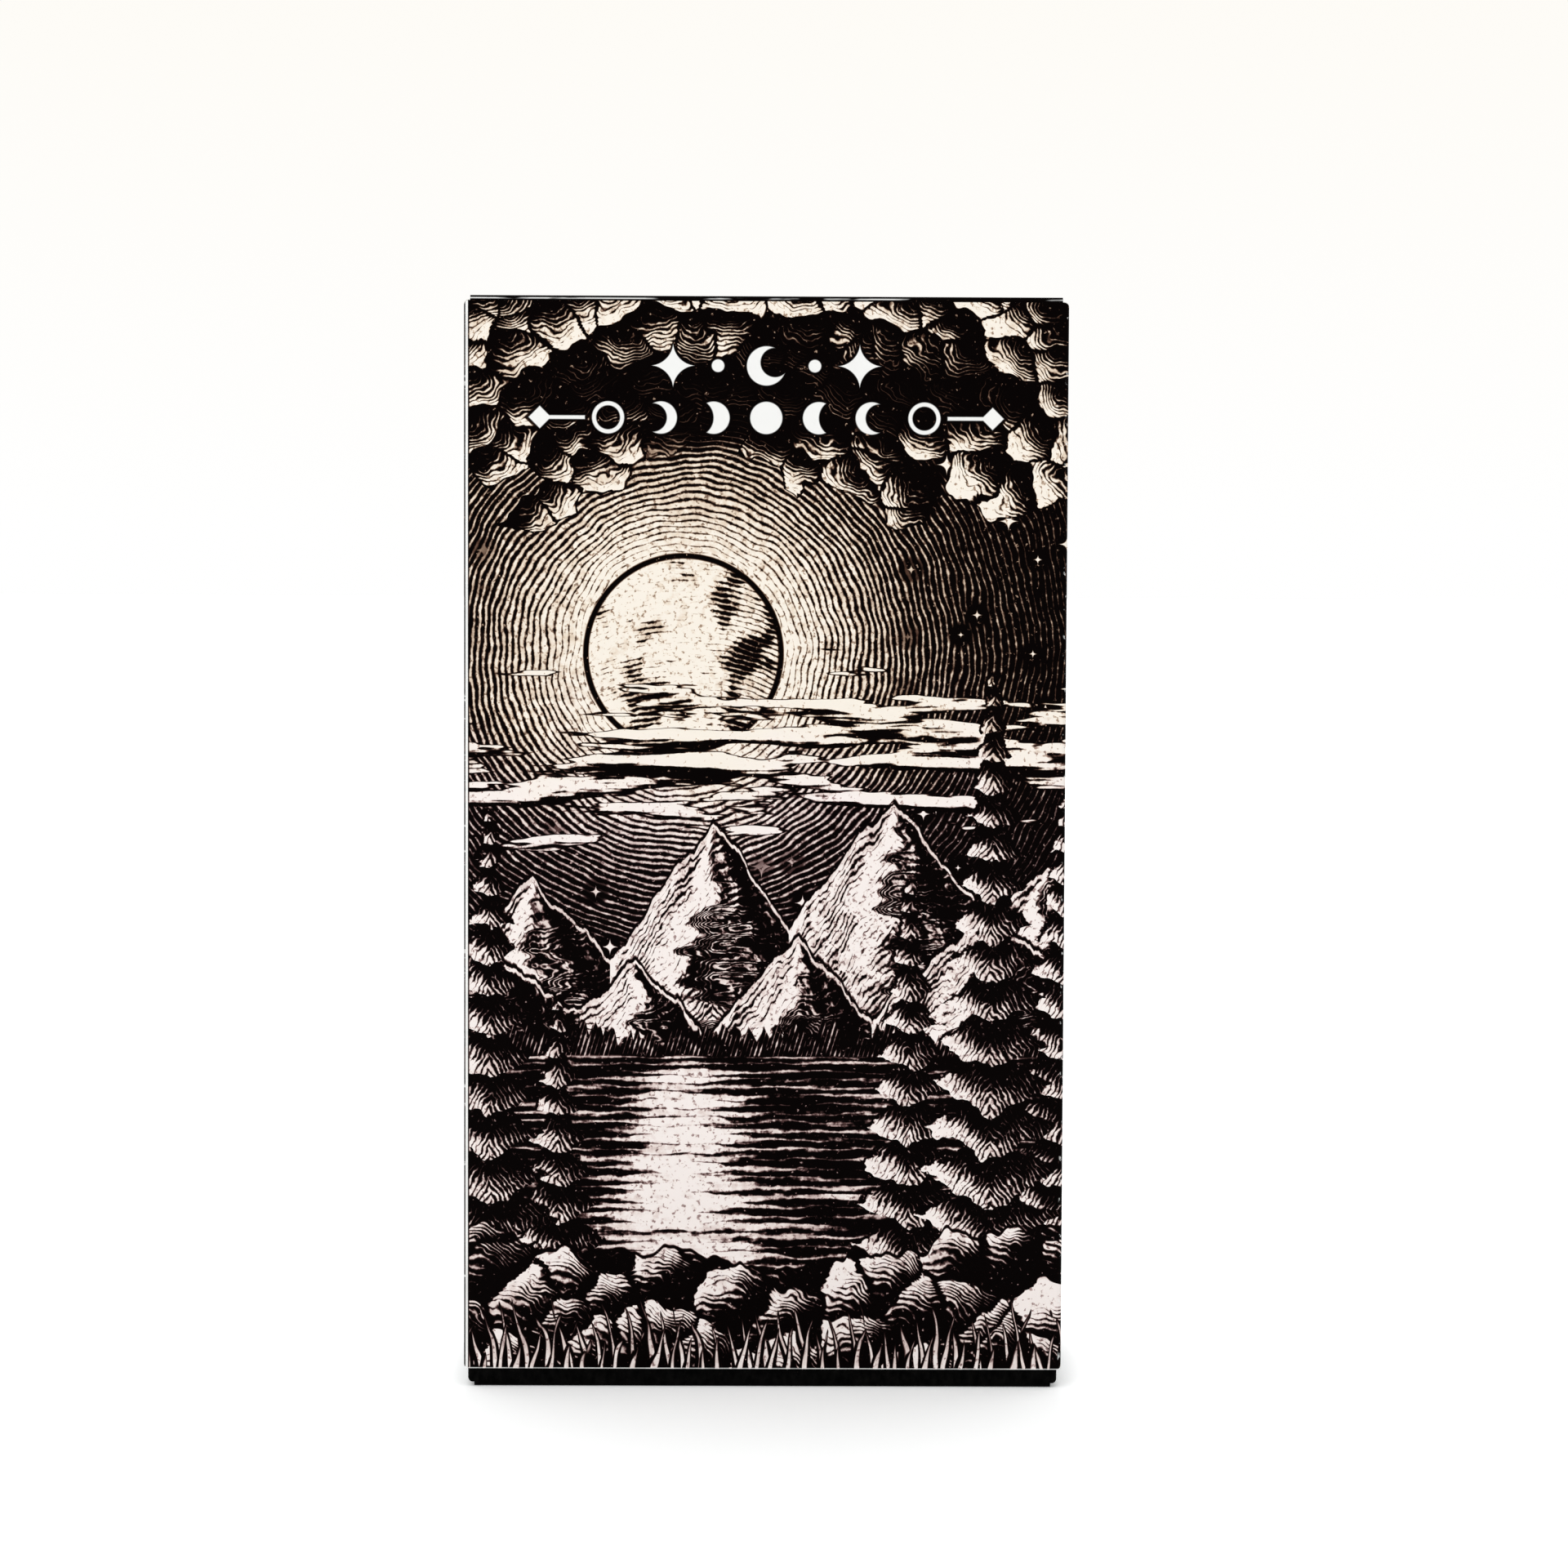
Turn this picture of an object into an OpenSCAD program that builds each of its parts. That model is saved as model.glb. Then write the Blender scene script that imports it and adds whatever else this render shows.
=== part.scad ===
// Tarot deck in a two-piece carton that stands on end: a deep lid slides down over a tray
// that holds 78 cards and a stapled booklet. Millimetres.
// Origin: middle of the footprint, on the surface that the carton stands on.
// +Z is up, and the front of the lid faces -Y.

/* [Cards] */
// Width of a card
card_w = 66; // [56:0.5:80]
// Height of a card
card_h = 120; // [96:0.5:145]
// Thickness of a card
card_t = 0.31; // [0.25:0.01:0.4]
// Radius of a card's corners
card_corner_r = 4; // [2:0.5:8]
// Air between one card and the next
card_gap = 0.03; // [0.02:0.01:0.06]

/* [Carton board] */
// Thickness of the board
board_t = 0.36; // [0.3:0.02:0.5]
// Inner radius of a fold
fold_inner_r = 0.2; // [0.1:0.05:0.4]
// Air between a dust flap and the end panel that is folded over it
flap_lift = 0.15; // [0.1:0.05:0.3]
// How far an end panel stops short of the side walls' outer faces
panel_inset = 0.75; // [0.6:0.05:1.5]
// Length of a tuck flap
tuck_len = 12; // [8:1:18]
// Radius of a tuck flap's corners
tuck_corner_r = 5; // [2:0.5:8]
// Length of a dust flap
dust_len = 20; // [12:1:24]
// Radius of a dust flap's corners
dust_corner_r = 3; // [1:0.5:5]
// Width of the glued seam flap
seam_w = 9; // [6:1:12]

/* [Fit] */
// Room beside the cards, on each side
side_play = 1.18; // [0.6:0.02:2]
// Room in front of the cards and behind the booklet
stack_play = 0.35; // [0.2:0.05:1]
// Room above the cards
head_room = 5.5; // [4.8:0.1:10]
// Air between the lid and the tray, on each side
lid_play = 0.1; // [0.06:0.02:0.3]
// Air between a flap and the wall that it lies against
flap_play = 0.1; // [0.06:0.02:0.3]
// Air under a piece that rests on another
seat_gap = 0.05; // [0.03:0.01:0.1]
// Height of the tray that shows below the lid
reveal = 2.2; // [1.4:0.1:6]
// Radius of the tray's thumb notches
thumb_r = 11; // [8:0.5:14]

/* [Booklet] */
// How much narrower and lower than a card the booklet is
booklet_trim = 3; // [0:0.5:8]
// Number of folded sheets inside the cover
sheet_count = 8; // [4:1:10]
// Thickness of a sheet
sheet_t = 0.11; // [0.08:0.01:0.14]
// Air between one sheet and the next
sheet_gap = 0.02; // [0.02:0.01:0.04]
// Thickness of the cover
cover_t = 0.22; // [0.18:0.02:0.3]
// Fold radius inside the innermost sheet
spread_r = 0.3; // [0.26:0.02:0.4]
// Diameter of the staple wire
wire_d = 0.4; // [0.3:0.05:0.4]
// Length of a staple's crown
staple_len = 12; // [8:1:16]
// Distance between the two staples
staple_span = 60; // [40:1:64]
// Inner radius of a staple's bends
staple_bend_r = 0.1; // [0.05:0.05:0.15]
// Air round a staple's leg in its hole
hole_play = 0.05; // [0.03:0.01:0.08]

/* [Hidden] */
$fn = 64;
trump_count = 22;
suits = ["wands", "cups", "swords", "coins"];
courts = ["page", "knight", "queen", "king"];
suit_colors = ["#a5522d", "#3b6a8c", "#7d7f86", "#b08a2e"];
pip_count = 10;
suit_size = len(courts) + pip_count;
card_count = trump_count + suit_size * len(suits);
card_pitch = card_t + card_gap;

fold_r = fold_inner_r + board_t;
side_z = board_t + flap_lift;          // level of a side wall's fold above the closed end
floor_t = side_z + board_t;            // dust flap on top of the end panel
flap_layer = board_t + flap_play;      // depth that a flap takes up inside the back wall
flap_slit = 1;                         // dust flaps stop short of the front and back walls
join_h = 2 * floor_t;                  // how far the end panel's fold runs into the front wall
cut = 1;                               // overshoot of a cutting shape

booklet_w = card_w - booklet_trim;
booklet_h = card_h - booklet_trim;
fold_pitch = sheet_t + sheet_gap;
cover_r = spread_r + sheet_count * fold_pitch;
booklet_r = cover_r + cover_t;
booklet_t = 2 * booklet_r;
stack_t = card_count * card_pitch + booklet_t;

tray_w = card_w + 2 * side_play + 2 * board_t;
tray_d = stack_t + 2 * stack_play + 2 * board_t + flap_layer;
lid_w = tray_w + 2 * lid_play + 2 * board_t;
lid_d = tray_d + 2 * lid_play + 2 * board_t + flap_layer;
rest_z = floor_t + seat_gap;
tray_h = rest_z + card_h + head_room;
box_h = tray_h + seat_gap + floor_t;
lid_h = box_h - reveal;
tray_y = -flap_layer / 2;              // the lid's flaps are all at the back
stack_y = tray_y - tray_d / 2 + board_t + stack_play;

booklet_y = stack_y + card_count * card_pitch + booklet_r;
spine_x = booklet_r - booklet_w / 2;   // axis of the booklet's folds
wire_r = wire_d / 2;
hole_r = wire_r + hole_play;
crown_x = -booklet_r - sheet_gap - wire_r;
clinch_x = -spread_r + sheet_gap + wire_r;
bend_r = staple_bend_r + wire_r;
leg_z = staple_len / 2 - wire_r;
clinch_len = leg_z - wire_r;

function two(i) = str(i < 10 ? "0" : "", i);
function trump_name(i) = str("trump_", two(i));
function court_name(s, c) = str(suits[s], "_", courts[c]);
function pips_name(s) = str(suits[s], "_pips");
function sheet_name(i) = str("booklet_sheet_", i + 1);
function suit_start(s) = trump_count + s * suit_size;

// Rectangle with round corners, centred.
module rounded_rect(w, h, r) {
    square([w - 2 * r, h], center = true);
    square([w, h - 2 * r], center = true);
    for (x = [-1, 1], y = [-1, 1])
        translate([x * (w / 2 - r), y * (h / 2 - r)]) circle(r);
}

// Lays an XZ outline along Y over length d, centred.
module along_y(d) {
    rotate([90, 0, 0]) linear_extrude(d, center = true) children();
}

// Lays a YZ outline along X over length w, centred.
module along_x(w) {
    rotate([90, 0, 90]) linear_extrude(w, center = true) children();
}

// Block with round upright edges, and round edges where the side walls meet the closed end.
module carton_block(w, d, z, h, r) {
    intersection() {
        translate([0, 0, z]) linear_extrude(h - z) rounded_rect(w, d, r);
        along_y(d) translate([0, h]) rounded_rect(w, 2 * (h - z), r);
    }
}

// Flap of the glued seam, inside the back wall and clear of the tuck flap.
module carton_seam(w, d, h) {
    seam_z = tuck_len + flap_slit;
    translate([w / 2 - board_t - seam_w, d / 2 - 2 * board_t, seam_z])
        cube([seam_w + board_t, 2 * board_t, h - flap_slit - seam_z]);
}

// Four walls with round folds; the side walls turn in under as the dust flaps.
module carton_walls(w, d, h) {
    inner_w = w - 2 * board_t;
    inner_d = d - 2 * board_t;
    difference() {
        carton_block(w, d, side_z, h, fold_r);
        difference() {
            carton_block(inner_w, inner_d, floor_t, h + cut, fold_inner_r);
            carton_seam(w, d, h);
        }
        linear_extrude(floor_t + cut) difference() {
            square([w - 2 * fold_r, inner_d], center = true);
            for (x = [-1, 1])
                translate([x * w / 2, 0])
                    rounded_rect(2 * dust_len, inner_d - 2 * flap_slit, dust_corner_r);
        }
    }
}

// End panel, folded from the front wall, with the tuck flap that goes in behind the back wall.
module carton_end(w, d) {
    end_w = w - 2 * panel_inset;
    end_d = d - flap_layer;
    end_y = -flap_layer / 2;
    intersection() {
        along_x(end_w) difference() {
            translate([end_y, tuck_len]) rounded_rect(end_d, 2 * tuck_len, fold_r);
            translate([end_y, tuck_len + board_t])
                rounded_rect(end_d - 2 * board_t, 2 * tuck_len, fold_inner_r);
            translate([-d, join_h]) square([d, 2 * tuck_len]);
        }
        along_y(d + 2 * cut) rounded_rect(end_w, 2 * tuck_len, tuck_corner_r);
    }
}

// Folded carton with its closed end at z = 0 and its open end at z = h.
module carton(w, d, h) {
    carton_walls(w, d, h);
    carton_end(w, d);
}

module lid() {
    color("#5e4c39") translate([0, 0, box_h]) mirror([0, 0, 1]) carton(lid_w, lid_d, lid_h);
}

module tray() {
    color("#161413") translate([0, tray_y, 0]) difference() {
        carton(tray_w, tray_d, tray_h);
        translate([0, 0, tray_h]) along_y(tray_d + 2 * cut) circle(thumb_r);
    }
}

// Card number k, counted from the front of the pack.
module card(k) {
    translate([0, stack_y + k * card_pitch + card_t / 2, rest_z + card_h / 2])
        along_y(card_t) rounded_rect(card_w, card_h, card_corner_r);
}

module trump(i) {
    color("#efe7d6") card(i);
}

module court(s, c) {
    color(suit_colors[s]) card(suit_start(s) + c);
}

module pips(s) {
    color(suit_colors[s]) for (i = [0 : pip_count - 1]) card(suit_start(s) + len(courts) + i);
}

// Puts what is drawn about the booklet's fold axis, at half its height, in its place.
module in_booklet() {
    translate([spine_x, booklet_y, rest_z + booklet_h / 2]) children();
}

// Outline of a sheet folded in half, out to radius r.
module fold_outline(r, len) {
    circle(r);
    translate([0, -r]) square([len, 2 * r]);
}

// One folded sheet between radius r and r + t, pierced for the staples' legs.
module folded_sheet(r, t) {
    leaf = booklet_w / 2 - spine_x;
    in_booklet() difference() {
        linear_extrude(booklet_h, center = true) difference() {
            fold_outline(r + t, leaf);
            fold_outline(r, leaf + cut);
        }
        for (s = [-1, 1], leg = [-1, 1])
            translate([0, 0, s * staple_span / 2 + leg * leg_z])
                rotate([0, -90, 0]) cylinder(r = hole_r, h = booklet_r + cut);
    }
}

module booklet_cover() {
    color("#3a2f26") folded_sheet(cover_r, cover_t);
}

module booklet_sheet(i) {
    color("#f3eee2") folded_sheet(spread_r + i * fold_pitch, sheet_t);
}

// Half of a staple, above its middle: crown, bend, leg, bend and clinched end.
module half_staple() {
    leg_x0 = crown_x + bend_r;
    leg_x1 = clinch_x - bend_r;
    translate([crown_x, 0, 0]) cylinder(r = wire_r, h = leg_z - bend_r);
    translate([leg_x0, 0, leg_z - bend_r]) rotate([90, 0, 0]) bend(90);
    translate([leg_x0, 0, leg_z]) rotate([0, 90, 0]) cylinder(r = wire_r, h = leg_x1 - leg_x0);
    translate([leg_x1, 0, leg_z - bend_r]) rotate([90, 0, 0]) bend(0);
    translate([clinch_x, 0, leg_z - clinch_len]) cylinder(r = wire_r, h = clinch_len - bend_r);
}

// Quarter turn of wire.
module bend(start) {
    rotate([0, 0, start]) rotate_extrude(angle = 90) translate([bend_r, 0]) circle(wire_r);
}

module booklet_staples() {
    color("silver") for (s = [-1, 1])
        in_booklet() translate([0, 0, s * staple_span / 2]) {
            half_staple();
            mirror([0, 0, 1]) half_staple();
        }
}

lid();
tray();
booklet_cover();
booklet_staples();
for (i = [0 : sheet_count - 1])
    booklet_sheet(i);
for (i = [0 : trump_count - 1])
    trump(i);
for (s = [0 : len(suits) - 1], c = [0 : len(courts) - 1])
    court(s, c);
for (s = [0 : len(suits) - 1])
    pips(s);
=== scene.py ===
import bpy
import bmesh
import math
from mathutils import Euler, Matrix, Vector


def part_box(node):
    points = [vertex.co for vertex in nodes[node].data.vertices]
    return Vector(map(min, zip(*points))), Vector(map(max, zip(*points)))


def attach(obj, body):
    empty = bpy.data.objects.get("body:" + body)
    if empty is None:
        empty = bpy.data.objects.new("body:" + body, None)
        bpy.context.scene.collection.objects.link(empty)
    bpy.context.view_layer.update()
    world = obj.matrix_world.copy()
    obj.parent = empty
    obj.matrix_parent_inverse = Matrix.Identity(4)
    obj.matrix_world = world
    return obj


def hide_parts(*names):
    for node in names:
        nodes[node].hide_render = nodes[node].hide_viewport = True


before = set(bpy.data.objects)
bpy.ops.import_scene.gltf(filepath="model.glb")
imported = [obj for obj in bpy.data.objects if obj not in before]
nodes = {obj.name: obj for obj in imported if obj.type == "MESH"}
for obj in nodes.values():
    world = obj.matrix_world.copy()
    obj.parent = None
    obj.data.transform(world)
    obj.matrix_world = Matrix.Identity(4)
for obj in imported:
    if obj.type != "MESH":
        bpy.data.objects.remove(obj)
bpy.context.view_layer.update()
mm = 0.001
lidLow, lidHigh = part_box("lid")
lidWide, lidDeep = lidHigh.x / mm, lidHigh.y / mm  # half sizes in millimetres
lidFoot, lidHead = lidLow.z / mm, lidHigh.z / mm
print("frame loaded,", len(nodes), "nodes")


# shader maths: one socket, with the operators that the prints use
class Val:
    def __init__(self, tree, socket):
        self.tree = tree
        self.socket = socket

    def make(self, kind, settings, sockets, out=0):
        node = self.tree.nodes.new(kind)
        for key, value in settings.items():
            if key == "stops":
                bar = node.color_ramp.elements
                while len(bar) < len(value):
                    bar.new(0.5)
                for element, (place, colour) in zip(bar, value):
                    element.position = place
                    element.color = (*colour, 1.0)
            else:
                setattr(node, key, value)
        for key, value in sockets.items():
            if isinstance(value, Val):
                self.tree.links.new(value.socket, node.inputs[key])
            else:
                node.inputs[key].default_value = value
        return Val(self.tree, node.outputs[out])

    def other(self, out):  # another output of the same node
        return Val(self.tree, self.socket.node.outputs[out])

    def math(self, operation, first, second=0.0):
        return self.make("ShaderNodeMath", {"operation": operation}, {0: first, 1: second})

    def __add__(self, b):
        return self.math("ADD", self, b)

    def __radd__(self, a):
        return self.math("ADD", a, self)

    def __sub__(self, b):
        return self.math("SUBTRACT", self, b)

    def __rsub__(self, a):
        return self.math("SUBTRACT", a, self)

    def __mul__(self, b):
        return self.math("MULTIPLY", self, b)

    def __rmul__(self, a):
        return self.math("MULTIPLY", a, self)

    def __truediv__(self, b):
        return self.math("DIVIDE", self, b)

    def __pow__(self, b):
        return self.math("POWER", self, b)

    def __neg__(self):
        return self.math("MULTIPLY", self, -1.0)

    def __abs__(self):
        return self.math("ABSOLUTE", self)

    def __gt__(self, b):
        return self.math("GREATER_THAN", self, b)

    def __lt__(self, b):
        return self.math("LESS_THAN", self, b)

    def most(self, b):
        return self.math("MAXIMUM", self, b)

    def least(self, b):
        return self.math("MINIMUM", self, b)

    def part(self):
        return self.math("FRACT", self)

    def root(self):
        return self.math("SQRT", self)

    def fade(self, length):  # falls from 1 to 0 over a few lengths
        return self.math("EXPONENT", self * (-1.0 / length))

    def rise(self, low, high):  # soft step from 0 at low to 1 at high
        return self.make("ShaderNodeMapRange", {"interpolation_type": "SMOOTHSTEP"},
                         {0: self, 1: low, 2: high, 3: 0.0, 4: 1.0})

    def over(self, under, mask):  # this value where mask is 1, the one under it where mask is 0
        return self.make("ShaderNodeMix", {"data_type": "FLOAT"}, {0: mask, 2: under, 3: self})


def newMaterial(name):
    material = bpy.data.materials.new(name)
    material.use_nodes = True
    tree = material.node_tree
    shader = tree.nodes["Principled BSDF"]
    place = tree.nodes.new("ShaderNodeTexCoord")
    start = Val(tree, place.outputs["Object"])
    x = start.make("ShaderNodeSeparateXYZ", {}, {0: start}, 0)
    return material, shader, x * (1.0 / mm), x.other(1) * (1.0 / mm), x.other(2) * (1.0 / mm)


def feed(shader, name, value):
    if isinstance(value, Val):
        value.tree.links.new(value.socket, shader.inputs[name])
    else:
        shader.inputs[name].default_value = value


grains = {}


def grain(x, z, size, detail=2.0):  # noise about 0, with spots about size mm across
    key = (x.socket, z.socket, size, detail)
    if key not in grains:
        spot = x.make("ShaderNodeCombineXYZ", {}, {0: x, 1: z})
        grains[key] = x.make("ShaderNodeTexNoise", {"noise_dimensions": "2D"},
                             {"Vector": spot, "Scale": 1.0 / size, "Detail": detail, "Roughness": 0.55}) - 0.5
    return grains[key]


def cells(x, z, size, feature="F1"):
    spot = x.make("ShaderNodeCombineXYZ", {}, {0: x, 1: z})
    return x.make("ShaderNodeTexVoronoi", {"voronoi_dimensions": "2D", "feature": feature},
                  {"Vector": spot, "Scale": 1.0 / size, "Randomness": 1.0}, "Distance")


def ramp(value, stops):
    return value.make("ShaderNodeValToRGB", {"stops": stops}, {0: value})


def blendColours(mask, under, over):
    return mask.make("ShaderNodeMix", {"data_type": "RGBA"}, {0: mask, 6: under, 7: over}, 2)


def bump(height, strength, depth):
    return height.make("ShaderNodeBump", {}, {"Strength": strength, "Distance": depth, "Height": height})


# engraved lines: the tone sets how wide each line is cut, and how bright it prints
def cutLines(phase, tone, soft=0.24):
    wave = abs(phase.part() - 0.5) * 2.0
    edge = tone * (1.0 + 2.0 * soft) - soft
    return wave.rise(edge + soft, edge - soft) * (tone * 0.38 + 0.64)


def burr(x, z):  # uneven pressure on the graver, added to a tone
    return grain(x, z, 0.7, 3.0) * 0.55


def distance(x, z, px, pz):
    return ((x - px) * (x - px) + (z - pz) * (z - pz)).root()


landscape = {
    "moon": (-9.5, 86.0, 11.0), "moonGlow": 17.0, "starStep": 7.5,
    "cloudPuff": 5.2, "cloudFoot": 107.0,
    "drift": (73.5, 34.0),
    "farPeaks": [(-27.0, 60.0, 1.05), (-6.0, 66.0, 1.3), (15.0, 69.0, 1.2), (33.0, 61.0, 1.0)],
    "nearPeaks": [(-35.0, 54.0, 0.75), (-15.0, 50.0, 0.95), (4.0, 53.0, 1.05), (26.0, 56.0, 0.9)],
    "shore": 40.0, "shoreSeam": 39.8, "treeTops": 74.0,
    "bank": 14.0, "stone": 6.4,
    "pines": [(-24.0, 46.0, 0.17), (17.0, 60.0, 0.15), (35.0, 70.0, 0.16), (-32.0, 68.0, 0.15),
              (26.5, 84.0, 0.135)],
}
# from one engraved line to the next, in millimetres
pitch = {
    "sky": 0.74, "moon": 0.66, "puff": 0.56, "veil": 0.62, "rock": 0.74, "leaf": 0.55, "needle": 0.62,
    "stone": 0.66, "sun": 0.62, "hatch": 0.85, "diamond": 0.62, "cover": 0.8, "sign": 0.7,
}


def nightSky(x, z, dim):
    mx, mz, mr = landscape["moon"]
    r = distance(x, z, mx, mz)
    glow = (r - mr).fade(landscape["moonGlow"])
    shake = grain(x, z, 9.0) * 2.2
    tone = (0.02 + 0.86 * glow + grain(x, z, 2.2) * 0.30 + burr(x, z)) * (1.0 - dim)
    ink = cutLines((r + shake) / pitch["sky"], tone)
    starAt = cells(x, z, landscape["starStep"])
    spot = starAt.other("Position")
    sx = spot.make("ShaderNodeSeparateXYZ", {}, {0: spot})
    dx = abs(x - sx)
    dz = abs(z - sx.other(1))
    size = starAt.other("Color").make("ShaderNodeSeparateColor", {}, {0: starAt.other("Color")})
    spark = dx.root() + dz.root()
    star = spark.rise(size * 0.62 + 0.72, size * 0.62 + 0.5) * glow.rise(0.5, 0.3)
    ink = ink * (1.0 - starAt.rise(0.24, 0.16) * glow.rise(0.5, 0.3))
    return ink.most(star)


def moon(x, z, ink):
    mx, mz, mr = landscape["moon"]
    r = distance(x, z, mx, mz)
    seas = grain(x, z, 6.0, 4.0)
    tone = 0.94 - seas.rise(-0.02, 0.13) * 0.55 - ((x - mx) / mr).rise(0.2, 1.0) * 0.3 + burr(x, z)
    curve = (x - mx) * (x - mx) * 0.02 + (z - mz) + grain(x, z, 3.0) * 0.8
    disc = cutLines(curve / pitch["moon"], tone)
    ink = ink * r.rise(mr + 0.55, mr + 0.75)
    return disc.over(ink, r.rise(mr + 0.1, mr - 0.1))


# heaped puffs: rings round each puff's own middle, lit on the side of the moon
def heaps(x, z, size):
    hx = x + grain(x, z, 5.0) * 4.0
    hz = z * 1.2 + grain(x + 40.0, z, 5.0) * 4.0
    ring = cells(hx, hz, size)
    spot = ring.other("Position")
    cx = spot.make("ShaderNodeSeparateXYZ", {}, {0: spot})
    cz = cx.other(1)
    lx = hx - cx
    lz = hz - cz
    far = (lx * lx + lz * lz).root()
    gap = cells(hx, hz, size, "DISTANCE_TO_EDGE")
    return lx, lz, far, gap, cx, cz * (1.0 / 1.2)


def clouds(x, z, ink, dim):
    mx, mz = landscape["moon"][:2]
    size = landscape["cloudPuff"]
    lx, lz, far, gap, cx, cz = heaps(x, z, size)
    toX = mx - x
    toZ = mz - z
    reach = (toX * toX + toZ * toZ).root()
    toX = toX / reach
    toZ = toZ / reach
    bx = lx + toX * (size * 0.42)
    bz = lz + toZ * (size * 0.42)
    arc = (bx * bx + bz * bz).root()
    lit = (lx * toX + lz * toZ) / (size * 0.5)
    tone = 0.36 + lit * 0.62 + grain(x, z, 1.6) * 0.45 + burr(x, z)
    tone = tone * gap.rise(0.015, 0.08) * (1.0 - dim)
    puff = cutLines((arc + grain(x, z, 2.0) * 0.7) / pitch["puff"], tone)
    inside = (cz - (landscape["cloudFoot"] + grain(cx, cz, 22.0) * 26.0 + abs(cx) * -0.08)).rise(-0.2, 0.2)
    rim = ink * (1.0 - inside * far.rise(size * 0.88, size * 0.82))
    return puff.over(rim, inside * far.rise(size * 0.80, size * 0.76))


def drifts(x, z, ink):
    low, thick = landscape["drift"]
    body = grain(x * 0.17 + 3.0, z * 1.1, 3.2, 3.0) + 0.11 - abs(z - low - x * 0.04) / thick
    top = grain(x * 0.17 + 3.0, (z + 0.9) * 1.1, 3.2, 3.0) + 0.11 - abs(z + 0.9 - low - x * 0.04) / thick
    tone = 0.5 + (body - top) * 7.0 + grain(x, z, 1.5) * 0.3 + burr(x, z)
    veil = cutLines((z + grain(x * 0.3, z, 3.0) * 1.6) / pitch["veil"], tone)
    ink = ink * (1.0 - body.rise(-0.035, -0.015))
    return veil.over(ink, body.rise(-0.005, 0.01))


# peaks drawn as tents; the slope towards the moon is light, the other is cross cut
def mountains(x, z, ink, peaks, rough, mist, shift):
    top = None
    for px, pz, slope in peaks:
        tent = pz - abs(x - px) * slope
        if top is None:
            top = tent
            side = x - px
        else:
            wins = tent > top
            side = (x - px).over(side, wins)
            top = tent.most(top)
    depth = top + grain(x + shift, z * 0.25, 4.5, 4.0) * rough - z
    spine = side + grain(x * 0.15 + shift, z, 5.0, 3.0) * (depth * 0.9).least(9.0) * 2.6
    lit = spine.rise(0.5, -0.5)
    gully = grain(abs(spine) - depth * 0.55 + shift, depth * 0.22, 3.2, 3.0)
    tone = lit * 0.58 + 0.12 + gully * 2.3 + burr(x, z)
    tone = (tone * 0.25 + 0.42).over(tone, depth.rise(mist * 0.35, mist) * 0.8)
    along = cutLines((depth * 0.8 + grain(x, z, 2.5) * 1.0) / pitch["rock"], tone)
    across = cutLines((spine * 0.8 + depth * 0.5) / pitch["rock"], tone)
    rock = along.over(across, lit)
    ink = ink * depth.rise(-0.45, -0.75)
    ink = rock.over(ink, depth.rise(-0.05, 0.15))
    return ink.most(depth.rise(-0.1, 0.05) * depth.rise(0.55, 0.35) * 0.85)


def lake(x, z, ink):
    mx = landscape["moon"][0]
    down = landscape["shore"] - z
    span = down.most(0.01)
    phase = span ** 0.87 * 1.45 + grain(x * 0.6, z * 2.4, 3.0) * 1.1
    path = (x - mx - grain(x, z, 8.0) * 6.0) / (span * 0.24 + 4.0)
    glitter = (path * path).fade(0.8)
    streak = grain(x * 0.16, z * 1.7, 2.6, 3.0)
    tone = 0.26 + glitter * 0.62 + streak * 1.5 - span.fade(3.0) * 0.2 + burr(x, z)
    water = cutLines(phase, tone)
    ink = water.over(ink, down.rise(-0.1, 0.1))
    teeth = abs((x * 0.62 + grain(x, x, 3.0) * 2.0).part() - 0.5) * 3.2
    wood = down + 1.0 + teeth + grain(x, x, 9.0) * 7.0
    leaf = cutLines((x + down * 0.3) / pitch["leaf"], grain(x, z, 1.8) * 1.1 + 0.16)
    return leaf.over(ink, wood.rise(-0.15, 0.15) * down.rise(1.1, 0.8))


# one fir: boughs in tiers that widen downwards, lit on the side of the moon
def fir(x, z, ink, px, top, width):
    sway = x - px + grain(x, z, 2.4) * 1.3
    drop = (top - z).most(0.0)
    tier = (drop ** 0.74 * 0.70 + abs(sway) * 0.10 + grain(x + px, z, 3.0) * 0.55).part()
    half = (drop * width + 0.3) * (tier * 0.70 + 0.30)
    out = abs(sway) - half - grain(x, z, 0.8) * 1.2
    needles = (abs(sway) * 0.95 - drop * 0.55 + grain(x, z, 1.5) * 0.6) / pitch["needle"]
    side = sway / (half + 0.4)
    light = (0.62 - side * 0.5) * tier.rise(0.15, 0.9)
    tone = light * 0.95 + grain(x, z, 1.2) * 0.5 - 0.04 + burr(x, z)
    inside = (top - z).rise(-0.1, 0.2)
    ink = ink * (1.0 - out.rise(0.6, 0.4) * inside)
    return cutLines(needles, tone).over(ink, out.rise(0.1, -0.1) * inside)


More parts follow.
